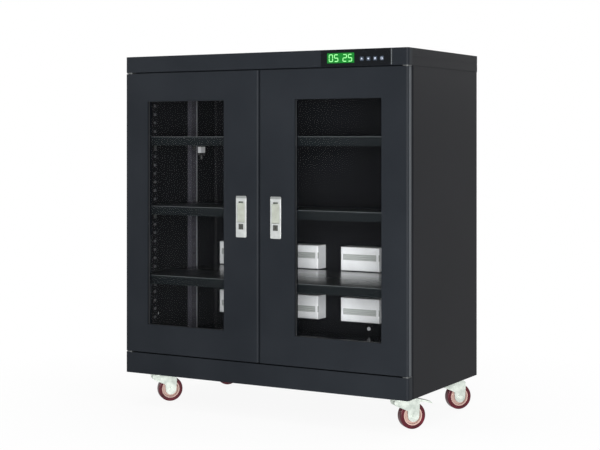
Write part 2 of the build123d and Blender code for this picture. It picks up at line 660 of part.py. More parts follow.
def shelf_clips():
    """Bent clips hooked in the post slots: each carries one corner of a shelf."""
    clips = []
    for level in SHELF_LEVELS.values():
        seat_z = BASE_Z + level - SHELF_LIP
        hook_z = seat_z - CLIP_HOOK_DROP
        for y in SHELF_POST_Y:
            width = around(y, CLIP_WIDTH)
            clip_face = POST_FACE_X - CLIP_SHEET
            leg = block((clip_face, POST_FACE_X), width, (seat_z - CLIP_DROP, seat_z))
            arm = block((POST_FACE_X - CLIP_REACH, POST_FACE_X), width, (seat_z - CLIP_SHEET, seat_z))
            hook = block((clip_face, POST_FACE_X + CLIP_HOOK_REACH), width, around(hook_z, CLIP_HOOK_HEIGHT))
            clip = leg + arm + hook
            clips += [mirrored(clip), clip]
    return group(clips)


def shelf(level):
    """Tray turned upside down, with its front edge bent round and hems under the long lips."""
    top = BASE_Z + level
    shape = block((-SHELF_X, SHELF_X), SHELF_Y, (top - SHELF_LIP, top))
    front_edge = shape.edges().filter_by(Axis.X).group_by(Axis.Z)[-1].sort_by(Axis.Y)[0]
    shape = hollow(fillet(front_edge, SHELF_EDGE_RADIUS), SHEET, DOWNWARD)
    hem_z = (top - SHELF_LIP, top - SHELF_LIP + SHEET)
    for start, end in ((SHELF_Y[0], SHELF_Y[0] + SHELF_HEM), (SHELF_Y[1] - SHELF_HEM, SHELF_Y[1])):
        shape += block((-SHELF_X, SHELF_X), (start, end), hem_z)
    return shape


def drying_units(level, mouth_offset):
    """A row of desiccant units on the back wall, each with the mouth that takes in moist air."""
    z = (BASE_Z + level, BASE_Z + level + UNIT_HEIGHT)
    mouth_z = around(BASE_Z + level + UNIT_HEIGHT / 2 + mouth_offset, MOUTH_HEIGHT)
    mouth_y = (UNIT_FACE_Y - CUT, UNIT_FACE_Y + MOUTH_DEPTH)
    units = []
    for x in UNIT_COLUMNS:
        unit = block(around(x, UNIT_WIDTH), (UNIT_FACE_Y, PANEL_FACE_Y), z)
        unit = fillet(face_towards(unit, FORWARD).edges(), UNIT_EDGE_RADIUS)
        units.append(unit - block(around(x, MOUTH_WIDTH), mouth_y, mouth_z))
    return group(units)


def humidity_sensor():
    """Probe on the left wall: a small box with its sensing tip below."""
    low, high = around(BASE_Z + SENSOR_Z, SENSOR_HEIGHT)
    box = block((-WALL_X, SENSOR_DEPTH - WALL_X), around(SENSOR_Y, SENSOR_WIDTH), (low, high))
    tip_z = (low - SENSOR_TIP_LENGTH, low)
    return box + upright(SENSOR_DEPTH / 2 - WALL_X, SENSOR_Y, tip_z, SENSOR_TIP_RADIUS)


def wall_plugs():
    """Blanking plugs in the back wall and in the left wall."""
    back_y = (PANEL_FACE_Y - PLUG_THICKNESS, PANEL_FACE_Y)
    back = through(BACK_PLUG_X, back_y, BASE_Z + BACK_PLUG_Z, PLUG_RADIUS)
    side_x = (-WALL_X, PLUG_THICKNESS - WALL_X)
    side = across(side_x, FRONT_Y + SIDE_PLUG_SETBACK, BASE_Z + SIDE_PLUG_Z, PLUG_RADIUS)
    return group([back, side])


# ---- Controller -------------------------------------------------------------------------------


def key_places():
    return [PANEL_X[0] + KEY_INSET + step * KEY_PITCH for step in range(KEY_COUNT)]


def control_panel():
    """Gloss front with a boss through the header, a sunk display window and the key holes."""
    shape = block(PANEL_X, (PANEL_FRONT_Y, FRONT_Y), PANEL_Z)
    boss_y = (FRONT_Y, FRONT_Y + PANEL_BOSS_DEPTH)
    shape += block(grown(PANEL_X, -PANEL_BOSS_INSET), boss_y, grown(PANEL_Z, -PANEL_BOSS_INSET))
    window_y = (PANEL_FRONT_Y - CUT, PANEL_FRONT_Y + DISPLAY_RECESS)
    shape -= block(DISPLAY_X, window_y, around(PANEL_MID_Z, DISPLAY_HEIGHT))
    hole = KEY_SIZE + 2 * KEY_CLEARANCE
    for x in key_places():
        shape -= block(around(x, hole), grown((PANEL_FRONT_Y, boss_y[1]), CUT), around(KEY_Z, hole))
    return shape


def panel_key(x):
    """Push key with the flange behind the panel that keeps it in."""
    flange_start = FRONT_Y + PANEL_BOSS_DEPTH + KEY_CLEARANCE
    stem = block(around(x, KEY_SIZE), (PANEL_FRONT_Y - KEY_PROUD, flange_start), around(KEY_Z, KEY_SIZE))
    stem = fillet(stem.edges().filter_by(Axis.Y), KEY_CORNER_RADIUS)
    flange_size = KEY_SIZE + 2 * KEY_FLANGE
    flange_y = (flange_start, flange_start + KEY_FLANGE)
    return stem + block(around(x, flange_size), flange_y, around(KEY_Z, flange_size))


def control_housing():
    """Controller box behind the header, hung from the top sheets."""
    x = grown(PANEL_X, -PANEL_BOSS_INSET)
    y = (FRONT_Y + HOUSING_START, FRONT_Y + HOUSING_START + HOUSING_DEPTH)
    return block(x, y, (HEADER_Z + 2 * SHEET, TOP_Z - SHEET))


def power_inlet():
    """Appliance inlet in the back panel: flange, tub and three blades."""
    z = BASE_Z + INLET_Z
    flange_y = (PANEL_FACE_Y + SHEET, BACK_Y)
    flange = block(around(INLET_X, INLET_FLANGE_WIDTH), flange_y, around(z, INLET_FLANGE_HEIGHT))
    flange = fillet(flange.edges().filter_by(Axis.Y), INLET_CORNER_RADIUS)
    tub_x = around(INLET_X, INLET_WIDTH + 2 * INLET_WALL)
    tub_z = around(z, INLET_HEIGHT + 2 * INLET_WALL)
    floor_y = BACK_Y - INLET_DEPTH
    shape = flange + block(tub_x, (floor_y - INLET_WALL, BACK_Y - SHEET), tub_z)
    shape -= block(around(INLET_X, INLET_WIDTH), (floor_y, BACK_Y + CUT), around(z, INLET_HEIGHT))
    for column, row in ((-1, -1), (0, 1), (1, -1)):
        blade_x = around(INLET_X + column * BLADE_PITCH, BLADE_THICKNESS)
        blade_z = around(z + row * BLADE_HEIGHT / 2, BLADE_HEIGHT)
        shape += block(blade_x, (floor_y, floor_y + BLADE_LENGTH), blade_z)
    return shape


# ---- Castors (modelled on the kingpin's axis, the fork heading along +X) ------------------------

CASTOR_PLACES = {
    "front_left": (-CASTOR_X, -CASTOR_Y),
    "front_right": (CASTOR_X, -CASTOR_Y),
    "rear_left": (-CASTOR_X, CASTOR_Y),
    "rear_right": (CASTOR_X, CASTOR_Y),
}


def plate_holes():
    """Bolt places round one kingpin."""
    return [(x, y) for x in around(0, PLATE_HOLES_X) for y in around(0, PLATE_HOLES_Y)]


def castor_bolt_places():
    return [(px + x, py + y) for px, py in CASTOR_PLACES.values() for x, y in plate_holes()]


def castor_plates():
    """Top plates with the fixed race and the kingpin."""
    plate_z = (CASTOR_HEIGHT - PLATE_THICKNESS, CASTOR_HEIGHT)
    plate = block(around(0, PLATE_LENGTH), around(0, PLATE_WIDTH), plate_z)
    plate = fillet(plate.edges().filter_by(Axis.Z), PLATE_CORNER_RADIUS)
    race = Pos(0, 0, RACE_Z + RACE_HEIGHT / 2) * Cone(FORK_RACE_RADIUS, RACE_TOP_RADIUS, RACE_HEIGHT)
    head_top = FORK_TOP_Z - FORK_RACE_DROP - RACE_GAP
    pin = upright(0, 0, grown((head_top, RACE_Z), CUT), KINGPIN_RADIUS)
    head = upright(0, 0, (head_top - KINGPIN_HEAD_HEIGHT, head_top), KINGPIN_HEAD_RADIUS)
    whole = plate + race + pin + head
    for x, y in plate_holes():
        whole -= upright(x, y, grown(plate_z, CUT), BOLT_RADIUS + BOLT_CLEARANCE)
    return group([Pos(x, y, 0) * whole for x, y in CASTOR_PLACES.values()])


def castor_bolts():
    """Hexagon bolts through the plates and the base, each with its nut."""
    plate_bottom = CASTOR_HEIGHT - PLATE_THICKNESS
    hexagon = RegularPolygon(BOLT_HEAD_SIZE / 2, 6, major_radius=False)
    head = Pos(0, 0, plate_bottom - BOLT_HEAD_HEIGHT) * extrude(hexagon, amount=BOLT_HEAD_HEIGHT)
    nut_low = BASE_Z + BASE_SHEET
    nut = Pos(0, 0, nut_low) * extrude(hexagon, amount=BOLT_HEAD_HEIGHT)
    shank = upright(0, 0, (plate_bottom, nut_low + BOLT_HEAD_HEIGHT + BOLT_END), BOLT_RADIUS)
    bolt = head + shank + nut
    return group([Pos(x, y, 0) * bolt for x, y in castor_bolt_places()])


def side_view(*circles):
    """The taut outline round (x, z, radius) circles, drawn across the wheel's axle."""
    edges = [edge for x, z, radius in circles for edge in (Pos(x, z) * Circle(radius)).edges()]
    return Plane.XZ * make_hull(edges)


def castor_fork(braked):
    """Pressed fork: crown with the turning race, two tapering legs, axle bolt and brake pin."""
    shoulder = (-FORK_SHOULDER_X, FORK_TOP_Z - FORK_SHOULDER_RADIUS, FORK_SHOULDER_RADIUS)
    ear = (BRAKE_PIVOT_X, BRAKE_PIVOT_Z, BRAKE_EAR_RADIUS)
    full = around(0, FORK_OUTSIDE)
    legs = side_view(shoulder, ear, (TRAIL, AXLE_Z, FORK_TOE_RADIUS))
    shape = extrude(legs, amount=FORK_OUTSIDE / 2, both=True)
    reach = grown((-FORK_CROWN_LENGTH, BRAKE_PIVOT_X), FORK_SHOULDER_RADIUS)
    shape -= block(reach, around(0, FORK_INSIDE), (0, CASTOR_HEIGHT))
    shape += block((-FORK_CROWN_LENGTH, TRAIL), full, (FORK_TOP_Z - FORK_CROWN, FORK_TOP_Z))
    race_z = (FORK_TOP_Z - FORK_RACE_DROP, FORK_TOP_Z)
    shape += upright(0, 0, race_z, FORK_RACE_RADIUS)
    shape -= upright(0, 0, grown(race_z, CUT), KINGPIN_RADIUS + PIN_CLEARANCE)
    axle = through(TRAIL, full, AXLE_Z, AXLE_RADIUS)
    pieces = [shape - axle, axle + axle_heads()]
    if braked:
        pin = through(BRAKE_PIVOT_X, full, BRAKE_PIVOT_Z, BRAKE_PIN_RADIUS)
        pieces = [pieces[0] - pin, pieces[1], pin]
    return group(pieces)


def axle_heads():
    hexagon = Plane.XZ * Pos(TRAIL, AXLE_Z) * RegularPolygon(AXLE_HEAD_SIZE / 2, 6, major_radius=False)
    start = FORK_OUTSIDE / 2
    near = Pos(0, -start, 0) * extrude(hexagon, amount=AXLE_HEAD_HEIGHT)
    far = Pos(0, start, 0) * extrude(hexagon, amount=-AXLE_HEAD_HEIGHT)
    return near + far


def around_axle(half_profile):
    """Turn a (radius, width) half-section about the axle."""
    turned = revolve(Plane.YZ * half_profile, Axis.Y)
    return Pos(TRAIL, 0, AXLE_Z) * turned


def castor_wheel():
    """Hub, web and rim in one moulding."""
    hub_half = FORK_INSIDE / 2 - HUB_SIDE_CLEARANCE
    bore = AXLE_RADIUS + AXLE_CLEARANCE
    rim = WHEEL_RADIUS - TREAD_DEPTH
    half_rim = TREAD_WIDTH / 2 - RIM_INSET
    outline = Polyline(
        (0, bore),
        (hub_half, bore),
        (hub_half, HUB_RADIUS - HUB_CHAMFER),
        (hub_half - HUB_TAPER, HUB_RADIUS),
        (WHEEL_WEB / 2, HUB_RADIUS),
        (WHEEL_WEB / 2, rim - RIM_DEPTH),
        (half_rim, rim - RIM_DEPTH + RIM_SLOPE),
        (half_rim, rim),
        (0, rim),
        close=True,
    )
    half = make_face(outline)
    return around_axle(half + mirror(half, about=Plane.YZ))


def castor_tyre():
    """Tread bonded on the rim, with its shoulders rounded."""
    tread = Pos(0, WHEEL_RADIUS - TREAD_DEPTH / 2) * Rectangle(TREAD_WIDTH, TREAD_DEPTH)
    shoulders = tread.vertices().group_by(Axis.Y)[-1]
    return around_axle(fillet(shoulders, TREAD_EDGE_RADIUS))


def castor_brake():
    """Foot pedal on the fork's pin: the shoe under it comes down to the tread."""
    hub_x, hub_z = BRAKE_PIVOT_X, BRAKE_PIVOT_Z
    elbow = (BRAKE_ELBOW_X, BRAKE_ELBOW_Z, BRAKE_PLATE / 2)
    arm = side_view((hub_x, hub_z, BRAKE_HUB_RADIUS), elbow)
    toe = side_view(elbow, (BRAKE_TOE_X, BRAKE_TOE_Z, BRAKE_PLATE / 2))
    shoe_end = (BRAKE_SHOE_X, BRAKE_SHOE_Z, BRAKE_SHOE_RADIUS)
    shoe = side_view((hub_x, hub_z, BRAKE_SHOE_RADIUS), shoe_end)
    inside = FORK_INSIDE / 2 - BRAKE_SIDE_CLEARANCE
    shape = extrude(arm, amount=inside, both=True)
    shape += extrude(shoe, amount=inside - BRAKE_SHOE_INSET, both=True)
    shape += extrude(toe, amount=BRAKE_PAD_WIDTH / 2, both=True)
    bore = through(hub_x, around(0, 2 * FORK_INSIDE), hub_z, BRAKE_PIN_RADIUS + PIN_CLEARANCE)
    return shape - bore


# ---- Assembly ---------------------------------------------------------------------------------


def cabinet():
    parts = {
        "side_panel_left": mirrored(side_panel()),
        "side_panel_right": side_panel(),
        "back_panel": back_panel(),
        "top_cover": top_cover(),
        "header_panel": header_panel(),
        "plinth": plinth(),
        "floor_pan": floor_pan(),
        "centre_post": centre_post(),
        "base_frame": base_frame(),
        "hinge_brackets": hinge_brackets(),
        "shelf_posts": shelf_posts(),
        "shelf_clips": shelf_clips(),
        "humidity_sensor": humidity_sensor(),
        "wall_plugs": wall_plugs(),
        "control_panel": control_panel(),
        "control_housing": control_housing(),
        "power_inlet": power_inlet(),
        "castor_plates": castor_plates(),
        "castor_bolts": castor_bolts(),
    }
    for name, level in SHELF_LEVELS.items():
        parts[f"shelf_{name}"] = shelf(level)
    parts["drying_units_lower"] = drying_units(UNIT_LEVELS["lower"], -MOUTH_OFFSET)
    parts["drying_units_upper"] = drying_units(UNIT_LEVELS["upper"], MOUTH_OFFSET)
    for number, x in enumerate(key_places(), start=1):
        parts[f"panel_key_{number}"] = panel_key(x)
    for make in (
        door_shell,
        door_liner,
        window_glass,
        glazing_seal,
        door_seal,
        lock_housing,
        lock_paddle,
        lock_barrel,
        lock_cam,
    ):
        right = make()
        parts[f"{make.__name__}_right"] = right
        parts[f"{make.__name__}_left"] = mirrored(right)
    for corner, (x, y) in CASTOR_PLACES.items():
        place = Pos(x, y, 0) * Rot(0, 0, TRAIL_ANGLE)
        braked = corner.startswith("front")
        parts[f"castor_fork_{corner}"] = place * castor_fork(braked)
        parts[f"castor_wheel_{corner}"] = place * castor_wheel()
        parts[f"castor_tyre_{corner}"] = place * castor_tyre()
        if braked:
            parts[f"castor_brake_{corner}"] = place * castor_brake()
    return parts


os.makedirs("parts", exist_ok=True)
for node, shape in cabinet().items():
    export_step(shape, f"parts/{node}.step")
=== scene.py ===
"""Finish, fittings, light and camera for the two-door desiccator cabinet.

Metres, in the cabinet's own frame.
"""

from math import cos, pi, radians, sin

import bmesh
import bpy
from mathutils import Matrix, Vector
from mathutils.geometry import convex_hull_2d


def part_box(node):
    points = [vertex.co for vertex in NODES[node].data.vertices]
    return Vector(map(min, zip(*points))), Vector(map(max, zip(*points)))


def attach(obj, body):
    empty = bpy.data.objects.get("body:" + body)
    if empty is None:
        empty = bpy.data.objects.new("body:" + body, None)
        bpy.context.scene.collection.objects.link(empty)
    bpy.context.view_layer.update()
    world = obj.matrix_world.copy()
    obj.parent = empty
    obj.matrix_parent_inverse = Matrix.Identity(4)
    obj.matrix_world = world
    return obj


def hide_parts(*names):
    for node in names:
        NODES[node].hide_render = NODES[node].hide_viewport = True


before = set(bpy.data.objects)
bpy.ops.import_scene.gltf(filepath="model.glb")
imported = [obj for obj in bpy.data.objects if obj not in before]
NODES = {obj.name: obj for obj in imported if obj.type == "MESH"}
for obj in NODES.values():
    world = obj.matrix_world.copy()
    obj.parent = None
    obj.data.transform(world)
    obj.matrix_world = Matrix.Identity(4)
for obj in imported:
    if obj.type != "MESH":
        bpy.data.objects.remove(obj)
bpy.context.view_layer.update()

SIDES = {"left": -1, "right": 1}
FRONT_CORNERS = ("front_left", "front_right")
REAR_CORNERS = ("rear_left", "rear_right")

# Display, its panel's trim and the marks on the keys
DISPLAY_INSET = 0.025  # from the panel's inner end
DISPLAY_WIDTH = 0.108
DISPLAY_MARGIN = 0.011  # above and below
DISPLAY_RECESS = 0.0008
DISPLAY_FIT = 0.0003  # round the lit window
DISPLAY_CORNER = 0.002
GLOW_THICKNESS = 0.0002
FIGURE_RELIEF = 0.0004
TRIM_WIDTH = 0.004
TRIM_INSET = 0.0005  # from the panel's outer end
TRIM_END_INSET = 0.0006  # from its upper and lower edges
TRIM_PROUD = 0.0004
TRIM_SEAT = 0.0001
MARK_HEIGHT = 0.0004  # of the marks on the keys
ARROW_RADII = (0.0046, 0.0042)
MENU_BAR_HALF = (0.0034, 0.0008)  # width and height
MENU_BAR_PITCH = 0.0026
RING_RADII = (0.0026, 0.0039)

# Lock handles
ESCUTCHEON_HALF = 0.0101
POCKET_HALF = 0.016
POCKET_HEADROOM = 0.014  # above the flap
FLAP_GAP = 0.0004  # between a flap and the face round its notch
SURROUND_FIT = 0.00002  # off the pocket's walls
FINGER_NOTCH = (0.020, 0.007)  # width and height
FINGER_DEPTH = 0.012

# Shelves and their posts
SHELF_FADE = (-0.26, 0.12)  # depths between which the shelves' tops turn glossy
POST_WIDTH = 0.040
POST_DEPTH = 0.020

# Drying units
UNIT_COLUMNS = (-0.445, -0.145, 0.128, 0.445)
MOUTH_OFFSET = 0.007  # from the middle of a unit
MOUTH_WIDTH = 0.146
MOUTH_HEIGHT = 0.024
MOUTH_DEPTH = 0.006
BLADE_PITCH = 0.0074
BLADE_TILT = radians(24)
BLADE_HALF_THICKNESS = 0.0007
BLADE_DEPTHS = (0.0006, 0.0050)  # behind a unit's face
BLADE_END_GAP = 0.0004

# Castors
CASTOR_HEADING = radians(48)
TRAIL = 0.044  # kingpin to axle
FORK_HALF_WIDTH = 0.0205
FORK_SHEET = 0.003
FORK_CROWN = (-0.028, TRAIL)
FORK_CROWN_SHEET = 0.004
FORK_SHOULDERS = (-0.015, TRAIL)  # middles of the rounded upper corners
FORK_SHOULDER = 0.013
FORK_NECK = (0.034, 0.023)  # rise above the axle, and radius
FORK_TOE = 0.021
FORK_SKIN = 0.0001  # between faces that would otherwise coincide
AXLE_RADIUS = 0.0049
AXLE_HEAD_RADIUS = 0.00866
AXLE_HEAD = 0.005
RACE_BORE = 0.0061
RACE_RADIUS = 0.030
RACE_DROP = 0.007
RACE_CHAMFER = 0.001
RACE_SEAT = 0.0002  # below the top of the fork
BRAKE_PIN = (0.058, 0.100)  # behind the kingpin, and above the floor
BRAKE_EAR_RADIUS = 0.008
BRAKE_PIN_RADIUS = 0.003
BRAKE_PIN_END = 0.0005  # past each leg


def middle_of(node):
    """Centre of a node's box."""
    low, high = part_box(node)
    return (low + high) / 2


BARREL = middle_of("lock_barrel_right")
PLATE_LOW, PLATE_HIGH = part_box("lock_housing_right")
FLAP_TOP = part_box("lock_paddle_right")[1].z
PANEL_LOW, PANEL_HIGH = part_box("control_panel")
DISPLAY_X = (PANEL_LOW.x + DISPLAY_INSET, PANEL_LOW.x + DISPLAY_INSET + DISPLAY_WIDTH)
DISPLAY_Z = (PANEL_LOW.z + DISPLAY_MARGIN, PANEL_HIGH.z - DISPLAY_MARGIN)
DISPLAY_FLOOR = PANEL_LOW.y + DISPLAY_RECESS
KEYS_X = [middle_of(f"panel_key_{number}").x for number in (1, 2, 3, 4)]
KEYS_Z = middle_of("panel_key_1").z
KEY_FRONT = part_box("panel_key_1")[0].y
UNIT_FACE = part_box("drying_units_lower")[0].y
MOUTH_LEVELS = {
    "lower": middle_of("drying_units_lower").z - MOUTH_OFFSET,
    "upper": middle_of("drying_units_upper").z + MOUTH_OFFSET,
}
DOOR_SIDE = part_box("door_shell_right")[1].x
BODY_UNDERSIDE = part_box("plinth")[0].z
SHELVES = [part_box(f"shelf_{name}") for name in ("lower", "middle", "upper")]
SENSOR_LOW, SENSOR_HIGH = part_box("humidity_sensor")
POSTS_LOW, POSTS_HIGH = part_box("shelf_posts")


# ---- Shader helpers -----------------------------------------------------------------------------


class Signal:
    """An output of a finish's node tree. Arithmetic on it adds Math nodes."""

    def __init__(self, tree, socket):
        self.tree = tree
        self.socket = socket

    def math(self, operation, *operands, clamp=False):
        node = self.tree.nodes.new("ShaderNodeMath")
        node.operation = operation
        node.use_clamp = clamp
        for target, operand in zip(node.inputs, operands):
            feed(self.tree, target, operand)
        return Signal(self.tree, node.outputs[0])

    def __add__(self, other):
        return self.math("ADD", self, other)

    __radd__ = __add__

    def __mul__(self, other):
        return self.math("MULTIPLY", self, other)

    __rmul__ = __mul__

    def __sub__(self, other):
        return self.math("SUBTRACT", self, other)

    def __rsub__(self, other):
        return self.math("SUBTRACT", other, self)

    def above(self, limit):
        return self.math("GREATER_THAN", self, limit)

    def near(self, centre, reach):
        """1 within reach of centre."""
        return self.math("COMPARE", self, centre, reach)

    def size(self):
        return self.math("ABSOLUTE", self)

    def ramp(self, start, end):
        """0 at start, 1 at end, held beyond them."""
        return self.math("MULTIPLY", self - start, 1 / (end - start), clamp=True)


def feed(tree, target, value):
    if isinstance(value, Signal):
        tree.links.new(value.socket, target)
    else:
        target.default_value = value


class Finish:
    """A material on one Principled shader."""

    def __init__(self, name, color, **surface):
        self.material = bpy.data.materials.new(name)
        self.material.use_nodes = True
        self.tree = self.material.node_tree
        self.shader = self.tree.nodes["Principled BSDF"]
        self.set(base_color=(*color, 1), **surface)

    def set(self, **surface):
        """Sets or links the shader's sockets: coat_weight=0.5 feeds Coat Weight."""
        for name, value in surface.items():
            title = name.replace("_", " ").title().replace("Ior", "IOR")
            feed(self.tree, self.shader.inputs[title], value)

    def node(self, kind, settings=None, inputs=None, output=0):
        node = self.tree.nodes.new(kind)
        for name, value in (settings or {}).items():
            setattr(node, name, value)
        for name, value in (inputs or {}).items():
            feed(self.tree, node.inputs[name], value)
        return Signal(self.tree, node.outputs[output])

    def place(self, scale=(1, 1, 1)):
        """Object coordinates in metres, stretched."""
        here = self.node("ShaderNodeTexCoord", output="Object")
        return self.node("ShaderNodeMapping", inputs={"Vector": here, "Scale": scale})

    def noise(self, scale, detail=3.0, roughness=0.55, at=None):
        inputs = {"Scale": scale, "Detail": detail, "Roughness": roughness}
        return self.node("ShaderNodeTexNoise", inputs={**inputs, "Vector": at or self.place()})

    def cells(self, scale):
        """A colour of its own in each cell."""
        inputs = {"Scale": scale, "Vector": self.place()}
        return self.node("ShaderNodeTexVoronoi", inputs=inputs, output="Color")

    def axis(self, letter):
        """One Object coordinate, in metres."""
        return self.node("ShaderNodeSeparateXYZ", inputs={"Vector": self.place()}, output=letter)

    def coat(self):
        """What feeds the base colour so far."""
        return Signal(self.tree, self.shader.inputs["Base Color"].links[0].from_socket)

    def mix(self, factor, first, second):
        """A colour between two colours."""
        node = self.tree.nodes.new("ShaderNodeMix")
        node.data_type = "RGBA"
        for index, value in ((0, factor), (6, first), (7, second)):
            opaque = (*value, 1) if isinstance(value, tuple) and len(value) == 3 else value
            feed(self.tree, node.inputs[index], opaque)
        return Signal(self.tree, node.outputs[2])

    def bump(self, height, strength, distance):
        inputs = {"Height": height, "Strength": strength, "Distance": distance}
        return self.node("ShaderNodeBump", inputs=inputs)


def srgb(red, green, blue):
    """A screen colour, 0 to 255, as linear light."""
    levels = [value / 255 for value in (red, green, blue)]
    return tuple(v / 12.92 if v <= 0.04045 else ((v + 0.055) / 1.055) ** 2.4 for v in levels)


# ---- Finishes -----------------------------------------------------------------------------------

PLATING_METALLIC = 0.55

# Widths of the bands that a finish treats apart
DOOR_HIGHLIGHT_BAND = 0.0006
SHELF_HIGHLIGHT_BAND = (0.004, 0.0022)  # depth and height of the painted highlight along the front edge
SHELF_SKIN = 0.0004
POST_SHEET = 0.0015
POST_BEND = 0.0045
POST_EDGE = 0.0022
SENSOR_BODY = (0.45, 0.86)  # shares of the height, between the filter cap and the painted shade from the shelf
NOTCH_MARGIN = 0.0002
PLATE_SKIN = 0.0005
PLATE_SHADE = 0.009  # at a lock plate's upper end
MOUTH_MARGIN = 0.0001
MOUTH_SHADE = (UNIT_FACE + 0.0005, UNIT_FACE + MOUTH_DEPTH + 0.0015)


def powder_coat(name, color, roughness):
    """Fine orange-peel powder coat with faint cloudiness."""
    finish = Finish(name, color, specular_ior_level=0.06)
    clouds = finish.noise(3.0, detail=4)
    lighter = tuple(min(1, level * 1.18 + 0.002) for level in color)
    tint = finish.mix(clouds.ramp(0.35, 0.7), color, lighter)
    peel = finish.noise(420, detail=2)
    finish.set(
        base_color=tint,
        roughness=roughness + 0.10 * clouds,
        normal=finish.bump(peel, 0.12, 0.0004),
    )
    return finish


def door_paint():
    """The front's powder coat, with a painted highlight on the doors' outer edges."""
    finish = powder_coat("door_coat", FRONT_COLOUR, 0.42)
    coat = finish.coat()
    # Painted highlight: the doors' outer edges and side faces are lighter.
    edge = finish.axis("X").size().above(DOOR_SIDE - DOOR_HIGHLIGHT_BAND)
    finish.set(base_color=finish.mix(edge, coat, srgb(66, 69, 72)))
    return finish.material


def shelf_paint():
    """Satin coat, glossier towards the shelves' backs, with a painted highlight along their front
    edges.
    """
    finish = powder_coat("shelf_coat", srgb(17, 21, 23), 0.38)
    finish.set(coat_roughness=0.19)
    coat = finish.coat()
    up = finish.axis("Z")
    behind = finish.axis("Y").above(SHELVES[0][0].y + SHELF_HIGHLIGHT_BAND[0])
    # Painted highlight along the shelves' front edges.
    edge = sum(up.near(high.z, SHELF_HIGHLIGHT_BAND[1]) for _, high in SHELVES) * (1 - behind)
    top = sum(up.near(high.z, SHELF_SKIN) for _, high in SHELVES) * behind
    fade = finish.axis("Y").ramp(*SHELF_FADE)
    finish.set(base_color=finish.mix(edge, coat, srgb(88, 92, 94)), coat_weight=top * fade)
    return finish.material


def post_paint():
    """Grey slotted posts: the front pair darkened by painted shade with a painted highlight on the
    web, the rear pair with a painted highlight on the bend.
    """
    finish = powder_coat("post_coat", srgb(56, 56, 62), 0.45)
    coat = finish.coat()
    across, depth = finish.axis("X").size(), finish.axis("Y")
    # Painted shade on the front pair.
    shaded = finish.mix(1 - depth.above(0), coat, srgb(26, 27, 30))
    face = 1 - across.above(POSTS_HIGH.x - POST_DEPTH + POST_SHEET)
    # Painted highlights on the rear pair's bend and the front pair's web.
    bend = depth.above(POSTS_HIGH.y - POST_BEND) * face
    web = depth.near(POSTS_LOW.y + POST_WIDTH, POST_EDGE) * (1 - face)
    edged = finish.mix(bend, shaded, srgb(150, 151, 156))
    finish.set(base_color=finish.mix(web, edged, srgb(84, 85, 88)))
    return finish.material


def sensor_plastic():
    """White sensor body between its dark filter cap below and a dark band of painted shade from the
    shelf above.
    """
    finish = moulded("sensor_plastic", srgb(214, 217, 219), 0.42)
    body = finish.coat()
    up, height = finish.axis("Z"), SENSOR_HIGH.z - SENSOR_LOW.z
    cap_top, shelf_shade_foot = (SENSOR_LOW.z + share * height for share in SENSOR_BODY)
    # The dark band at the top is painted shade from the shelf above; the dark cap below is the
    # filter cap's own colour.
    dark = 1 - up.above(cap_top) + up.above(shelf_shade_foot)
    finish.set(base_color=finish.mix(dark, body, srgb(26, 27, 28)))
    return finish.material


def gloss_paint(name, color):
    """Smooth stoved enamel inside the chamber, with light handling haze."""
    finish = Finish(name, color, specular_ior_level=0.5)
    haze = finish.noise(9.0, detail=5)
    finish.set(
        base_color=finish.mix(haze, color, tuple(level * 1.3 for level in color)),
        roughness=0.13 + 0.14 * haze,
        normal=finish.bump(finish.noise(160, detail=1), 0.04, 0.0004),
    )
    return finish.material


def clear_glass():
    """Toughened glass: nearly clear face on, mirror-like towards grazing."""
    finish = Finish("window_glass", srgb(13, 16, 17))
    fresnel = finish.node("ShaderNodeFresnel", inputs={"IOR": 1.5})
    smears = finish.noise(6.0, detail=5)
    finish.set(alpha=0.012 + fresnel * 0.6, roughness=0.02 + 0.006 * smears)
    finish.material.use_transparent_shadow = True
    return finish.material


def rubber():
    """Extruded rubber under a dull bloom."""
    finish = Finish("seal_rubber", srgb(26, 27, 28))
    bloom = finish.noise(60, detail=4)
    finish.set(
        base_color=finish.mix(bloom, srgb(20, 21, 22), srgb(38, 39, 40)),
        roughness=0.55 + 0.2 * bloom,
        normal=finish.bump(finish.noise(900, detail=2), 0.15, 0.0003),
    )
    return finish.material


def satin_chrome(name, color, roughness):
    """Plated casting, brushed along its height."""
    finish = Finish(name, color, metallic=PLATING_METALLIC)
    grain = finish.noise(260, detail=3, at=finish.place(scale=(6, 6, 0.25)))
    patches = finish.noise(45, detail=3)
    darker = tuple(level * 0.78 for level in color)
    finish.set(
        base_color=finish.mix(patches.ramp(0.3, 0.75), darker, color),
        roughness=roughness + 0.14 * grain,
        normal=finish.bump(grain, 0.10, 0.0002),
    )
    return finish


def lock_plating():
    """Satin plate with painted shade at its upper end and in the finger notch, dark round the key.
    """
    finish = satin_chrome("lock_plating", srgb(176, 179, 178), 0.30)
    across, up = finish.axis("X").size(), finish.axis("Z")
    square = across.near(BARREL.x, ESCUTCHEON_HALF) * up.near(BARREL.z, ESCUTCHEON_HALF)
    half_width, half_height = (length / 2 for length in FINGER_NOTCH)
    beside = across.near(BARREL.x, half_width + NOTCH_MARGIN)
    level = up.near(FLAP_TOP + half_height, half_height + NOTCH_MARGIN)
    notch = beside * level * finish.axis("Y").above(PLATE_LOW.y + PLATE_SKIN)
    plated = finish.coat()
    shaded = finish.mix(up.above(PLATE_HIGH.z - PLATE_SHADE) * 0.75, plated, srgb(104, 107, 106))
    # Painted shade in the finger notch.
    notch_shade = finish.mix(notch, shaded, srgb(92, 97, 90))
    finish.set(
        base_color=finish.mix(square, notch_shade, srgb(40, 41, 38)),
        metallic=PLATING_METALLIC - 0.5 * square,
    )
    return finish.material


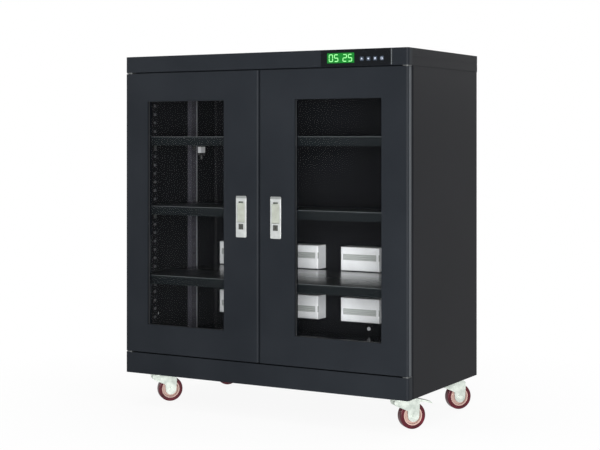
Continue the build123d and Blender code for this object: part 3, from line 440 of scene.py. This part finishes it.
def unit_moulding():
    """White housings with painted shade in their mouths."""
    finish = moulded("unit_moulding", srgb(238, 241, 243), 0.42)
    up = finish.axis("Z")
    mouth = sum(up.near(level, MOUTH_HEIGHT / 2 + MOUTH_MARGIN) for level in MOUTH_LEVELS.values())
    depth = finish.axis("Y")
    # Painted shade inside the mouths, behind the units' faces.
    inside = mouth * depth.above(MOUTH_SHADE[0]) * (1 - depth.above(MOUTH_SHADE[1]))
    white = finish.coat()
    finish.set(base_color=finish.mix(inside, white, srgb(172, 177, 175)))
    return finish.material


def zinc_plate():
    """Zinc-plated steel with its faint spangle."""
    finish = Finish("zinc_plate", srgb(184, 190, 184), metallic=PLATING_METALLIC)
    spangle = finish.cells(150)
    shade = finish.noise(35, detail=4)
    finish.set(
        base_color=finish.mix(shade.ramp(0.3, 0.75), srgb(158, 166, 159), srgb(206, 212, 204)),
        roughness=0.26 + 0.16 * shade,
        normal=finish.bump(spangle, 0.05, 0.0003),
    )
    return finish.material


def moulded(name, color, roughness, grain=700.0):
    """Moulded plastic with a spark-eroded grain."""
    finish = Finish(name, color)
    texture = finish.noise(grain, detail=2)
    drift = finish.noise(14, detail=3)
    darker = tuple(level * 0.86 for level in color)
    finish.set(
        base_color=finish.mix(drift.ramp(0.3, 0.7), darker, color),
        roughness=roughness + 0.08 * texture,
        normal=finish.bump(texture, 0.12, 0.0002),
    )
    return finish


def lit(name, color, strength):
    """Glowing figures or backlight, slightly uneven."""
    surface = {"roughness": 0.4, "specular_ior_level": 0.1, "emission_strength": strength}
    finish = Finish(name, tuple(level * 0.3 for level in color), **surface)
    drift = finish.noise(60, detail=2)
    dimmer = tuple(level * 0.75 for level in color)
    finish.set(emission_color=finish.mix(drift.ramp(0.3, 0.7), dimmer, color))
    return finish.material


def gloss_black():
    """Back-printed clear front: deep black under a thin gloss."""
    finish = Finish("gloss_black", srgb(9, 10, 12), specular_ior_level=0.10)
    dust = finish.noise(500, detail=2)
    wipe = finish.noise(20, detail=4)
    finish.set(
        base_color=finish.mix(dust.above(0.74), srgb(8, 10, 13), srgb(22, 25, 30)),
        roughness=0.10 + 0.12 * wipe,
    )
    return finish.material


def tread():
    """Cast polyurethane, darker in drifting patches."""
    finish = Finish("tread", srgb(84, 12, 28))
    drift = finish.noise(30, detail=4)
    finish.set(
        base_color=finish.mix(drift.ramp(0.3, 0.72), srgb(46, 6, 12), srgb(78, 11, 26)),
        roughness=0.30 + 0.18 * drift,
        normal=finish.bump(finish.noise(500, detail=2), 0.10, 0.0003),
        coat_weight=0.06,
        specular_ior_level=0.22,
    )
    return finish.material


FRONT_COLOUR = srgb(22, 25, 29)
# The sides, top and back are the front's paint made darker, as painted shade.
BODY_COLOUR = srgb(14, 15, 18)
INNER_COLOUR = srgb(13, 17, 24)

coat_door = door_paint()
coat_front = powder_coat("front_coat", FRONT_COLOUR, 0.42).material
coat_body = powder_coat("body_coat", BODY_COLOUR, 0.45).material
coat_post = post_paint()
coat_shelf = shelf_paint()
enamel = gloss_paint("inner_enamel", INNER_COLOUR)
glass = clear_glass()
rubber_black = rubber()
chrome = lock_plating()
chrome_flap = satin_chrome("flap_chrome", srgb(164, 168, 158), 0.34).material
barrel_steel = satin_chrome("barrel_steel", srgb(70, 72, 68), 0.30).material
trim_steel = satin_chrome("trim_steel", srgb(76, 80, 82), 0.34).material
bracket_steel = satin_chrome("bracket_steel", srgb(80, 82, 82), 0.40).material
zinc = zinc_plate()
units_white = unit_moulding()
white_plastic = moulded("white_plastic", srgb(216, 219, 222), 0.42).material
louvre_grey = moulded("louvre_grey", srgb(196, 200, 199), 0.45).material
black_plastic = moulded("black_plastic", srgb(24, 25, 26), 0.5).material
key_plastic = moulded("key_plastic", srgb(30, 42, 56), 0.30, grain=1200.0).material
glyph_print = moulded("glyph_print", srgb(176, 182, 198), 0.5, grain=1500.0).material
backlight = lit("display_backlight", srgb(14, 112, 36), 1.0)
figures = lit("display_figures", srgb(150, 236, 150), 1.0)
panel_black = gloss_black()
wheel_core = moulded("wheel_core", srgb(168, 140, 130), 0.45, grain=500.0).material
sensor_white = sensor_plastic()
tread_red = tread()

FINISHES = {
    "door_shell": coat_door,
    "header_panel": coat_front,
    "plinth": coat_front,
    "side_panel": coat_body,
    "top_cover": coat_body,
    "back_panel": coat_body,
    "door_liner": enamel,
    "floor_pan": enamel,
    "centre_post": enamel,
    "base_frame": enamel,
    "shelf_posts": coat_post,
    "shelf_clips": bracket_steel,
    "shelf": coat_shelf,
    "window_glass": glass,
    "glazing_seal": rubber_black,
    "door_seal": rubber_black,
    "lock_housing": chrome,
    "lock_paddle": chrome_flap,
    "lock_barrel": barrel_steel,
    "lock_cam": zinc,
    "hinge_brackets": bracket_steel,
    "drying_units": units_white,
    "control_panel": panel_black,
    "control_housing": black_plastic,
    "humidity_sensor": sensor_white,
    "wall_plugs": white_plastic,
    "power_inlet": black_plastic,
    "panel_key": key_plastic,
    "castor_tyre": tread_red,
    "castor_wheel": wheel_core,
    "castor": zinc,
}


def finish_nodes():
    """Each node takes the finish of the longest family name that it starts with."""
    for name, node in NODES.items():
        family = max((key for key in FINISHES if name.startswith(key)), key=len)
        node.data.materials.clear()
        node.data.materials.append(FINISHES[family])


finish_nodes()


# ---- Fittings -----------------------------------------------------------------------------------


FACING_FRONT = Matrix.Rotation(radians(90), 4, "X")
TURN_STEPS = 36
OUTLINE_STEPS = 48
CROWN_ROUNDING = 0.0008
TRIM_ROUNDING = 0.0002
BLADE_ROUNDING = 0.0003
MENU_BAR_ROUNDING = 0.0003


def piece(name, mesh, material, body):
    """A finished bmesh as an object that moves with a body."""
    data = bpy.data.meshes.new(name)
    mesh.to_mesh(data)
    mesh.free()
    data.materials.append(material)
    made = bpy.data.objects.new(name, data)
    bpy.context.scene.collection.objects.link(made)
    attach(made, body)
    return made


def heading(edge):
    """The unit vector along an edge."""
    return (edge.verts[0].co - edge.verts[1].co).normalized()


def add_block(mesh, low, high, rounding, segments=2, edges_along=None):
    """A box between two corners. Its edges, or only those along one axis, are rounded."""
    verts = bmesh.ops.create_cube(mesh, size=1)["verts"]
    low, high = Vector(low), Vector(high)
    bmesh.ops.scale(mesh, vec=high - low, verts=verts)
    bmesh.ops.translate(mesh, vec=(low + high) / 2, verts=verts)
    edges = {edge for vert in verts for edge in vert.link_edges}
    if edges_along is not None:
        edges = {edge for edge in edges if abs(heading(edge)[edges_along]) > 0.9}
    rounded = bmesh.ops.bevel(
        mesh,
        geom=list(edges),
        offset=rounding,
        affect="EDGES",
        segments=segments,
        profile=0.5,
        material=-1,
        clamp_overlap=True,
    )
    return rounded["verts"]


def add_turned(mesh, profile, place):
    """A (radius, height) outline spun about its axis into a closed shape, then placed."""
    before = set(mesh.verts)
    verts = [mesh.verts.new((radius, 0, height)) for radius, height in profile]
    edges = [mesh.edges.new(pair) for pair in zip(verts, verts[1:] + verts[:1])]
    bmesh.ops.spin(
        mesh,
        geom=verts + edges,
        cent=(0, 0, 0),
        axis=(0, 0, 1),
        angle=2 * pi,
        steps=TURN_STEPS,
        use_merge=True,
    )
    fresh = [vert for vert in mesh.verts if vert not in before]
    bmesh.ops.remove_doubles(mesh, verts=fresh, dist=1e-6)
    fresh = [vert for vert in mesh.verts if vert not in before]
    bmesh.ops.transform(mesh, matrix=place, verts=fresh)
    faces = {face for vert in fresh for face in vert.link_faces}
    bmesh.ops.recalc_face_normals(mesh, faces=list(faces))


FIGURES_SHOWN = "0525"  # two of humidity, two of temperature
FIGURE_BARS = {"0": "abcdef", "2": "abged", "5": "afgcd"}
BAR_PLACES = {  # column and row of each bar's middle
    "a": (0, 1),
    "b": (1, 0.5),
    "c": (1, -0.5),
    "d": (0, -1),
    "e": (-1, -0.5),
    "f": (-1, 0.5),
    "g": (0, 0),
}
FIGURE_HALF_WIDTH = 0.0068
FIGURE_HALF_HEIGHT = 0.0118
BAR_WIDTH = 0.0029
BAR_GAP = 0.0003
BAR_ROUNDING = 0.45 * BAR_WIDTH
FIGURE_PLACES = (-0.0385, -0.0175, 0.0165, 0.0375)  # from the middle of the display


def add_figure(mesh, digit, x, z, front, back):
    """A seven-bar figure."""
    for bar in FIGURE_BARS[digit]:
        column, row = BAR_PLACES[bar]
        middle_x = x + column * FIGURE_HALF_WIDTH
        middle_z = z + row * FIGURE_HALF_HEIGHT
        if column == 0:
            half_x, half_z = FIGURE_HALF_WIDTH - BAR_GAP, BAR_WIDTH / 2
        else:
            half_x, half_z = BAR_WIDTH / 2, FIGURE_HALF_HEIGHT / 2 - BAR_GAP
        low = (middle_x - half_x, front, middle_z - half_z)
        high = (middle_x + half_x, back, middle_z + half_z)
        add_block(mesh, low, high, BAR_ROUNDING, segments=1, edges_along=1)


def add_slab(mesh, outline, front, back):
    """A closed (x, z) outline as a slab between two depths."""
    face = mesh.faces.new([mesh.verts.new((x, front, z)) for x, z in outline])
    pushed = bmesh.ops.extrude_face_region(mesh, geom=[face])["geom"]
    verts = [item for item in pushed if isinstance(item, bmesh.types.BMVert)]
    bmesh.ops.translate(mesh, vec=(0, back - front, 0), verts=verts)
    bmesh.ops.recalc_face_normals(mesh, faces=mesh.faces)


def taut_outline(*circles):
    """The convex (x, z) outline round (x, z, radius) circles."""
    turns = [2 * pi * step / OUTLINE_STEPS for step in range(OUTLINE_STEPS)]
    points = []
    for x, z, radius in circles:
        points += [Vector((x + radius * cos(turn), z + radius * sin(turn))) for turn in turns]
    return [points[index] for index in convex_hull_2d(points)]


def add_rod(mesh, x, z, radius, limits, segments=24):
    """A round or six-sided bar along Y between two depths."""
    place = Matrix.Translation((x, sum(limits) / 2, z)) @ FACING_FRONT
    depth = limits[1] - limits[0]
    sizes = {"segments": segments, "radius1": radius, "radius2": radius, "depth": depth}
    bmesh.ops.create_cone(mesh, cap_ends=True, matrix=place, **sizes)


def castor_place(corner):
    """From a castor's own axes, wheel towards +X of its kingpin, to its corner."""
    axle = middle_of(f"castor_wheel_{corner}")
    turn = Matrix.Rotation(CASTOR_HEADING, 4, "Z")
    kingpin = Vector((axle.x, axle.y, 0)) - turn @ Vector((TRAIL, 0, 0))
    return Matrix.Translation(kingpin) @ turn


def castor_fork(corner, braked):
    """Pressed fork: necked legs under a crown with the turning race, axle bolt and brake pin."""
    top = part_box(f"castor_fork_{corner}")[1].z
    axle_z = middle_of(f"castor_wheel_{corner}").z
    neck = (TRAIL, axle_z + FORK_NECK[0], FORK_NECK[1])
    shoulders = [(x, top - FORK_SHOULDER, FORK_SHOULDER) for x in FORK_SHOULDERS]
    yoke = taut_outline(*shoulders, (*BRAKE_PIN, BRAKE_EAR_RADIUS), neck)
    strap = taut_outline(neck, (TRAIL, axle_z, FORK_TOE))
    fork = bmesh.new()
    for side in (-1, 1):
        outside, inside = side * FORK_HALF_WIDTH, side * (FORK_HALF_WIDTH - FORK_SHEET)
        skin = side * FORK_SKIN
        add_slab(fork, yoke, outside, inside)
        add_slab(fork, strap, outside + skin, inside + skin)
        head = sorted((outside, outside + side * AXLE_HEAD))
        add_rod(fork, TRAIL, axle_z, AXLE_HEAD_RADIUS, head, segments=6)
    half = FORK_HALF_WIDTH - FORK_SKIN
    low = (FORK_CROWN[0], -half, top - FORK_CROWN_SHEET)
    add_block(fork, low, (FORK_CROWN[1], half, top - FORK_SKIN), CROWN_ROUNDING)
    race = (
        (RACE_BORE, -RACE_DROP),
        (RACE_RADIUS - RACE_CHAMFER, -RACE_DROP),
        (RACE_RADIUS, RACE_CHAMFER - RACE_DROP),
        (RACE_RADIUS, -RACE_SEAT),
        (RACE_BORE, -RACE_SEAT),
    )
    add_turned(fork, race, Matrix.Translation((0, 0, top)))
    add_rod(fork, TRAIL, axle_z, AXLE_RADIUS, (-FORK_HALF_WIDTH, FORK_HALF_WIDTH))
    if braked:
        end = FORK_HALF_WIDTH + BRAKE_PIN_END
        add_rod(fork, *BRAKE_PIN, BRAKE_PIN_RADIUS, (-end, end))
    bmesh.ops.transform(fork, matrix=castor_place(corner), verts=fork.verts)
    made = piece(f"necked_fork_{corner}", fork, zinc, f"fork_{corner}")
    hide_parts(f"castor_fork_{corner}")


def castor_forks():
    """Four forks. Only the front ones carry a brake."""
    for corner in FRONT_CORNERS + REAR_CORNERS:
        castor_fork(corner, corner in FRONT_CORNERS)


def finger_surrounds():
    """Each lock plate's face round the notch above its flap."""
    width, height = FINGER_NOTCH
    low, notch_top = FLAP_TOP + FLAP_GAP, FLAP_TOP + height
    high = FLAP_TOP + POCKET_HEADROOM - SURROUND_FIT
    wide, narrow = POCKET_HALF - SURROUND_FIT, width / 2
    outline = [(-wide, low), (-wide, high), (wide, high), (wide, low)]
    outline += [(narrow, low), (narrow, notch_top), (-narrow, notch_top), (-narrow, low)]
    depths = (PLATE_LOW.y, PLATE_LOW.y + FINGER_DEPTH)
    for side, sign in SIDES.items():
        surround = bmesh.new()
        add_slab(surround, [(sign * BARREL.x + x, z) for x, z in outline], *depths)
        piece(f"finger_surround_{side}", surround, chrome, f"door_{side}")


def display():
    """Backlit window sunk in the panel, with humidity and temperature figures."""
    glow = bmesh.new()
    front = DISPLAY_FLOOR - GLOW_THICKNESS
    low = (DISPLAY_X[0] + DISPLAY_FIT, front, DISPLAY_Z[0] + DISPLAY_FIT)
    high = (DISPLAY_X[1] - DISPLAY_FIT, DISPLAY_FLOOR, DISPLAY_Z[1] - DISPLAY_FIT)
    add_block(glow, low, high, DISPLAY_CORNER, segments=3, edges_along=1)
    piece("display_window", glow, backlight, "cabinet")
    shown = bmesh.new()
    x, z = sum(DISPLAY_X) / 2, sum(DISPLAY_Z) / 2
    for digit, place in zip(FIGURES_SHOWN, FIGURE_PLACES):
        add_figure(shown, digit, x + place, z, front - FIGURE_RELIEF, front)
    piece("display_figures", shown, figures, "cabinet")


def key_marks():
    """A raised mark on each key: up, down, menu and on."""
    half = MARK_HEIGHT / 2
    for number, x in enumerate(KEYS_X, start=1):
        mark = bmesh.new()
        place = Matrix.Translation((x, KEY_FRONT - half, KEYS_Z)) @ FACING_FRONT
        if number == 2:
            place = place @ Matrix.Rotation(pi, 4, "Z")
        if number <= 2:
            wide, narrow = ARROW_RADII
            arrow = {"segments": 3, "radius1": wide, "radius2": narrow, "depth": MARK_HEIGHT}
            bmesh.ops.create_cone(mark, cap_ends=True, matrix=place, **arrow)
        elif number == 3:
            half_width, half_height = MENU_BAR_HALF
            for step in (-1, 0, 1):
                z = KEYS_Z + step * MENU_BAR_PITCH
                low = (x - half_width, KEY_FRONT - MARK_HEIGHT, z - half_height)
                high = (x + half_width, KEY_FRONT, z + half_height)
                add_block(mark, low, high, MENU_BAR_ROUNDING, segments=1, edges_along=1)
        else:
            inner, outer = RING_RADII
            ring = ((inner, -half), (outer, -half), (outer, half), (inner, half))
            add_turned(mark, ring, place)
        piece(f"key_mark_{number}", mark, glyph_print, f"key_{number}")


def panel_trim():
    """Bright strip that closes the panel's outer end."""
    strip = bmesh.new()
    end = PANEL_HIGH.x - TRIM_INSET
    low = (end - TRIM_WIDTH, PANEL_LOW.y - TRIM_PROUD, PANEL_LOW.z + TRIM_END_INSET)
    high = (end, PANEL_LOW.y + TRIM_SEAT, PANEL_HIGH.z - TRIM_END_INSET)
    add_block(strip, low, high, TRIM_ROUNDING)
    piece("panel_trim", strip, trim_steel, "cabinet")


def mouth_louvres():
    """Tilted blades in the mouths of the drying units."""
    front, back = (UNIT_FACE + depth for depth in BLADE_DEPTHS)
    half = MOUTH_WIDTH / 2 - BLADE_END_GAP
    tilt = Matrix.Rotation(BLADE_TILT, 3, "X")
    for row, level in MOUTH_LEVELS.items():
        blades = bmesh.new()
        for x in UNIT_COLUMNS:
            for step in (-1, 0, 1):
                z = level + step * BLADE_PITCH
                low = (x - half, front, z - BLADE_HALF_THICKNESS)
                high = (x + half, back, z + BLADE_HALF_THICKNESS)
                verts = add_block(blades, low, high, BLADE_ROUNDING)
                middle = (x, (front + back) / 2, z)
                bmesh.ops.rotate(blades, cent=middle, matrix=tilt, verts=verts)
        piece(f"mouth_louvres_{row}", blades, louvre_grey, "cabinet")


castor_forks()
finger_surrounds()
display()
key_marks()
panel_trim()
mouth_louvres()


# ---- Floor, light and camera ---------------------------------------------------------------------

FLOOR_SIZE = 30
FLOOR_GLOW = 0.91  # the backdrop's share of the floor's brightness under the cabinet
FLOOR_FADE = (0.6, 1.7)  # distances between which that share grows to 1
WORLD_LIGHT = 0.25  # the share of the backdrop's brightness that lights the cabinet
LIT_POINT = (0, 0, 0.7)
CAMERA_YAW = radians(29.87)
CAMERA_RISE = 0.8983  # above the underside of the body
CAMERA_PLACE = (2.6092, -4.5492, BODY_UNDERSIDE + CAMERA_RISE)
CAMERA_SENSOR = 36  # millimetres, as is the lens
CAMERA_LENS = 82.25
CAMERA_SHIFT = -0.1445


def seen_directly(tree):
    """1 for rays that the camera sends, also off gloss and through glass."""
    path = tree.nodes.new("ShaderNodeLightPath")
    seen = Signal(tree, path.outputs["Is Camera Ray"])
    for kind in ("Is Glossy Ray", "Is Transmission Ray"):
        seen = seen.math("MAXIMUM", seen, Signal(tree, path.outputs[kind]))
    return seen


def studio_floor():
    """A wide pale floor that keeps the cabinet's shadow and fades into the white backdrop."""
    mesh = bmesh.new()
    bmesh.ops.create_grid(mesh, x_segments=1, y_segments=1, size=FLOOR_SIZE)
    data = bpy.data.meshes.new("floor")
    mesh.to_mesh(data)
    mesh.free()
    floor = bpy.data.objects.new("floor", data)
    bpy.context.scene.collection.objects.link(floor)
    finish = Finish("floor_white", (0.9, 0.9, 0.9), roughness=0.9, specular_ior_level=0.0)
    speckle = finish.noise(2.0, detail=3)
    finish.set(base_color=finish.mix(speckle, (0.90, 0.90, 0.90), (0.93, 0.93, 0.93)))
    length = {"operation": "LENGTH"}
    distance = finish.node("ShaderNodeVectorMath", length, {0: finish.place()}, output="Value")
    glow = finish.node("ShaderNodeEmission", inputs={"Color": (1, 1, 1, 1), "Strength": 1.0})
    share = FLOOR_GLOW + (1 - FLOOR_GLOW) * distance.ramp(*FLOOR_FADE)
    surface = Signal(finish.tree, finish.shader.outputs[0])
    blend = {0: share * seen_directly(finish.tree), 1: surface, 2: glow}
    shown = finish.node("ShaderNodeMixShader", inputs=blend)
    finish.tree.links.new(shown.socket, finish.tree.nodes["Material Output"].inputs["Surface"])
    data.materials.append(finish.material)


def studio_world():
    """White backdrop that lights the cabinet with only a share of its brightness."""
    world = bpy.data.worlds.new("studio")
    bpy.context.scene.world = world
    world.use_nodes = True
    tree = world.node_tree
    background = tree.nodes["Background"]
    background.inputs["Color"].default_value = (1, 1, 1, 1)
    strength = WORLD_LIGHT + (1 - WORLD_LIGHT) * seen_directly(tree)
    feed(tree, background.inputs["Strength"], strength)


def soft_box(name, location, size, power):
    """A rectangular lamp that faces the cabinet's middle."""
    data = bpy.data.lights.new(name, "AREA")
    data.shape = "RECTANGLE"
    data.size, data.size_y = size
    data.energy = power
    lamp = bpy.data.objects.new(name, data)
    bpy.context.scene.collection.objects.link(lamp)
    towards = Vector(LIT_POINT) - Vector(location)
    lamp.rotation_euler = towards.to_track_quat("-Z", "Y").to_euler()
    lamp.location = location


def studio_light():
    """Five lamps, the strongest close behind the camera."""
    soft_box("front", (3.0, -5.25, 0.96), (2.0, 1.5), 540)
    soft_box("key_left", (-3.2, -3.6, 3.0), (2.4, 2.4), 45)
    soft_box("fill_right", (4.2, -1.0, 2.2), (1.6, 2.6), 45)
    soft_box("top", (0, 0, 4.2), (3.0, 2.0), 40)
    soft_box("back", (0.5, 3.8, 2.6), (2.6, 2.0), 45)


def camera():
    """Level camera to the right of the doors, its picture shifted down."""
    data = bpy.data.cameras.new("camera")
    data.sensor_width = CAMERA_SENSOR
    data.lens = CAMERA_LENS
    data.shift_y = CAMERA_SHIFT
    eye = bpy.data.objects.new("camera", data)
    bpy.context.scene.collection.objects.link(eye)
    eye.location = CAMERA_PLACE
    eye.rotation_euler = (radians(90), 0, CAMERA_YAW)
    bpy.context.scene.camera = eye


studio_floor()
studio_world()
studio_light()
camera()

scene = bpy.context.scene
scene.view_settings.view_transform = "Standard"
